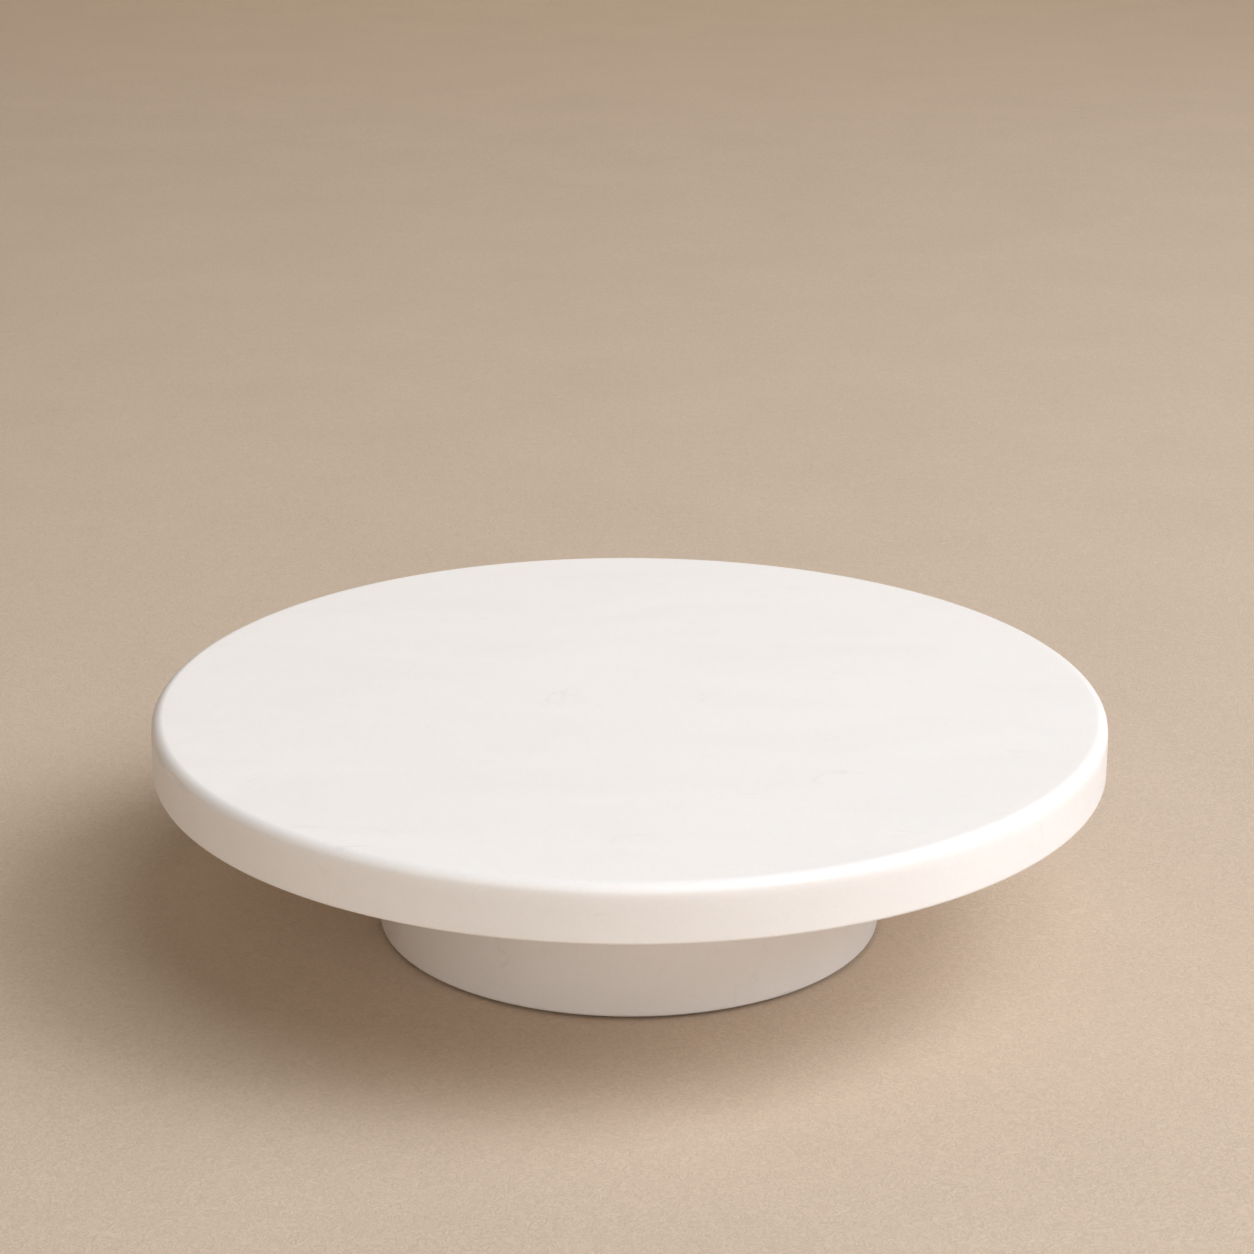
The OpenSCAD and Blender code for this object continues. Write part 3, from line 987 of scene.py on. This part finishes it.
def socket_screw(length, head):
    """A countersunk screw with a hexagon socket, its head at z = 0 and its tip up."""
    fasteners = bpy.context.scene.turntable_fasteners
    crest, land, ease = fasteners.shank_radius, fasteners.head_land, fasteners.head_ease
    root, neck = crest - fasteners.thread_depth, land + head - crest
    pitch, tip = fasteners.thread_pitch, fasteners.screw_tip
    flank, valley = 0.4 * pitch, 0.1 * pitch
    section = [(0, 0), (head - ease, 0), (head, ease), (head, land), (crest, neck)]
    threads = int((length - tip - neck) / pitch) - 1
    start = length - tip - threads * pitch
    for i in range(threads):
        z = start + i * pitch
        section += [(crest, z), (root, z + flank)]
        section += [(root, z + flank + valley), (crest, z + 2 * flank + valley)]
    section += [(crest, length - tip), (crest - tip, length), (0, length)]
    screw = turn("screw", section, SMALL_STEPS)
    corner_radius = fasteners.socket_width / 2 / math.cos(math.pi / 6)
    socket = added(
        bpy.ops.mesh.primitive_cylinder_add,
        vertices=6, radius=corner_radius, depth=2 * fasteners.socket_depth,
    )
    return cut(screw, socket)


class TURNTABLE_OT_screws(Operator):
    """Adds the screws of both races"""

    bl_idname = "turntable.screws"
    bl_label = "Screws"

    def execute(self, context):
        colour = context.scene.turntable_finish.screw_zinc
        zinc = smooth_metal("zinc_plated_steel", colour, roughness=0.3, mottle=0.08)
        for node, insert, body, from_above in (
            ("plate_screws", "plate_insert", "platter", False),
            ("base_screws", "base_insert", "base", True),
        ):
            (inner, outer), (low, high) = radii(node), heights(node)
            screw = socket_screw(high - low, (outer - inner) / 2)
            stand(screw, (inner + outer) / 2, low, high, from_above)
            screws = joined(copies(screw, places(insert)[1]), node.replace("screws", "screw_set"))
            finish_piece(screws, body, [node], zinc)
        return {"FINISHED"}


class TURNTABLE_OT_inserts(Operator):
    """Adds the threaded brass inserts, with knurled lands and glue grooves between them"""

    bl_idname = "turntable.inserts"
    bl_label = "Inserts"

    def execute(self, context):
        fasteners = context.scene.turntable_fasteners
        colour = context.scene.turntable_finish.brass
        brass = turned_metal("turned_brass", colour, 0.28, pitch=0.12 * MM, centred=False)
        bore, groove, ease = fasteners.insert_bore, fasteners.insert_groove, fasteners.insert_ease
        # Four lands with three grooves between them, all as high. A knurl's valley is this share
        # of the land's radius, at every other step around
        bands, grooves, valley = 7, (1, 3, 5), 0.955
        step = FULL_TURN / SMALL_STEPS
        for insert, body in (("plate_insert", "platter"), ("base_insert", "base")):
            radius, (low, high) = half_width(f"{insert}_1"), heights(f"{insert}_1")
            band = (high - low) / bands
            section = [(bore + ease, low), (radius - ease / 2, low), (radius, low + ease / 2)]
            for i in grooves:
                z = low + i * band
                section += [(radius, z), (radius - groove, z)]
                section += [(radius - groove, z + band), (radius, z + band)]
            section += [(radius, high - ease / 2), (radius - ease / 2, high), (bore + ease, high)]
            section += [(bore, high - ease), (bore, low + ease), (bore + ease, low)]
            first = turn(insert, section, SMALL_STEPS)
            land = radius - 0.01 * MM
            bpy.ops.object.mode_set(mode="EDIT")
            select_vertices(
                first,
                lambda co: co.xy.length > land and round(math.atan2(co.y, co.x) / step) % 2 == 1,
            )
            bpy.ops.transform.resize(value=(valley, valley, 1), center_override=(0, 0, 0))
            bpy.ops.object.mode_set(mode="OBJECT")
            ring_radius, angles = places(insert)
            settle(first, place=(ring_radius, 0, 0))
            name = insert.replace("insert", "knurled_insert")
            for number, piece in enumerate(copies(first, angles), 1):
                piece.name = piece.data.name = f"{name}_{number}"
                finish_piece(piece, body, [f"{insert}_{number}"], brass, smooth=20)
        return {"FINISHED"}


class TURNTABLE_OT_gaskets(Operator):
    """Adds the two rubber gaskets between metal and stone"""

    bl_idname = "turntable.gaskets"
    bl_label = "Gaskets"

    def execute(self, context):
        colour = context.scene.turntable_finish.gasket
        edge = context.scene.turntable_bearing.rubber_edge
        hole = context.scene.turntable_fasteners.gasket_hole
        rubber = moulded_polymer(
            "cut_gasket_rubber", colour, 0.75, grain=0.2 * MM, depth=0.02 * MM, ior=1.52
        )
        for node, insert, body in (
            ("plate_gasket", "plate_insert", "platter"),
            ("drum_gasket", "base_insert", "base"),
        ):
            (inner, outer), (low, high) = radii(node), heights(node)
            section = rounded(inner, outer, low, high, edge, step=45)
            gasket = turn(f"{node}_ring", section, RING_STEPS)
            ring_radius, angles = places(insert)
            cut(gasket, drill(hole, low - MM, high + MM, ring_radius, angles))
            finish_piece(gasket, body, [node], rubber)
        return {"FINISHED"}


# Each light's name, azimuth and elevation in degrees, width in metres, share of power, and colour
LIGHTS = (
    ("key_softbox_front", -35, 55, 3.0, 0.367, "#f9fbff"),
    ("key_softbox_side", -3, 40, 2.2, 0.395, "#f3f8ff"),
    ("fill_from_behind", 90, 30, 2.5, 0.069, "#ffedd2"),
    ("fill_from_the_left", -135, 45, 2.5, 0.045, "#ffedd2"),
    ("fill_from_the_front", -84, 16, 1.8, 0.13, "#ffffff"),
)


class TURNTABLE_OT_stage(Operator):
    """Adds the paper floor, the lights and the camera"""

    bl_idname = "turntable.stage"
    bl_label = "Studio"

    def execute(self, context):
        scene = context.scene
        stage = scene.turntable_stage
        flat, bend = stage.paper_reach, stage.paper_bend
        wall_top = (flat + bend, stage.paper_height)
        section = [(0, 0), (flat, 0), *arc((flat, bend), bend, -90, 0), wall_top]
        floor = turn("paper_floor", section, FOOT_STEPS)
        settle(floor, place=(0, 0, -stage.paper_drop))
        bpy.ops.object.shade_smooth()
        floor.data.materials.append(studio_paper())

        for name, azimuth, elevation, size, share, colour in LIGHTS:
            bpy.ops.object.light_add(type="AREA")
            light = context.object
            light.name = light.data.name = name
            light.data.shape = "DISK"
            light.data.size = size
            light.data.energy = stage.light_power * share
            light.data.color = linear(colour)
            light.visible_camera = False
            around, up = math.radians(azimuth), math.radians(elevation)
            level = math.cos(up)
            away = Vector((level * math.cos(around), level * math.sin(around), math.sin(up)))
            light.location = CENTRE + stage.light_distance * away
            light.rotation_euler = away.to_track_quat("Z", "Y").to_euler()

        world = bpy.data.worlds.new("even_light")
        scene.world = world
        world.use_nodes = True
        background = world.node_tree.nodes["Background"]
        background.inputs["Color"].default_value = opaque(stage.sky_colour)
        background.inputs["Strength"].default_value = stage.sky
        scene.view_settings.view_transform = "Standard"

        bpy.ops.object.camera_add(location=stage.camera_place)
        camera = context.object
        camera.name = "camera"
        turned = (
            Matrix.Rotation(stage.camera_heading, 4, "Z")
            @ Matrix.Rotation(math.pi / 2 - stage.camera_tilt, 4, "X")
            @ Matrix.Rotation(stage.camera_roll, 4, "Z")
        )
        camera.rotation_euler = turned.to_euler()
        camera.data.lens = stage.lens
        camera.data.sensor_width = 36
        camera.data.clip_start = 10 * MM
        scene.camera = camera
        return {"FINISHED"}


# ---- The add-on's panel and registration ----

PIECES = (
    TURNTABLE_OT_stage,
    TURNTABLE_OT_plate,
    TURNTABLE_OT_drum,
    TURNTABLE_OT_feet,
    TURNTABLE_OT_outer_race,
    TURNTABLE_OT_inner_race,
    TURNTABLE_OT_cage,
    TURNTABLE_OT_balls,
    TURNTABLE_OT_rivets,
    TURNTABLE_OT_screws,
    TURNTABLE_OT_inserts,
    TURNTABLE_OT_gaskets,
)
SETTINGS = {
    "turntable_stone": TurntableStone,
    "turntable_bearing": TurntableBearing,
    "turntable_fasteners": TurntableFasteners,
    "turntable_finish": TurntableFinish,
    "turntable_stage": TurntableStage,
}


class VIEW3D_PT_turntable(Panel):
    bl_label = "Stone Turntable"
    bl_space_type = "VIEW_3D"
    bl_region_type = "UI"
    bl_category = "Turntable"

    def draw(self, context):
        for piece in PIECES:
            self.layout.operator(piece.bl_idname)
        for name, group in SETTINGS.items():
            box = self.layout.box()
            for setting in group.__annotations__:
                box.prop(getattr(context.scene, name), setting)


def register():
    for kind in (*SETTINGS.values(), *PIECES, VIEW3D_PT_turntable):
        bpy.utils.register_class(kind)
    for name, group in SETTINGS.items():
        setattr(bpy.types.Scene, name, PointerProperty(type=group))


def unregister():
    for name in SETTINGS:
        delattr(bpy.types.Scene, name)
    for kind in (VIEW3D_PT_turntable, *reversed(PIECES), *SETTINGS.values()):
        bpy.utils.unregister_class(kind)


def main():
    """Builds every piece in order."""
    register()
    for piece in PIECES:
        family, name = piece.bl_idname.split(".")
        getattr(getattr(bpy.ops, family), name)()


if __name__ == "__main__":
    main()
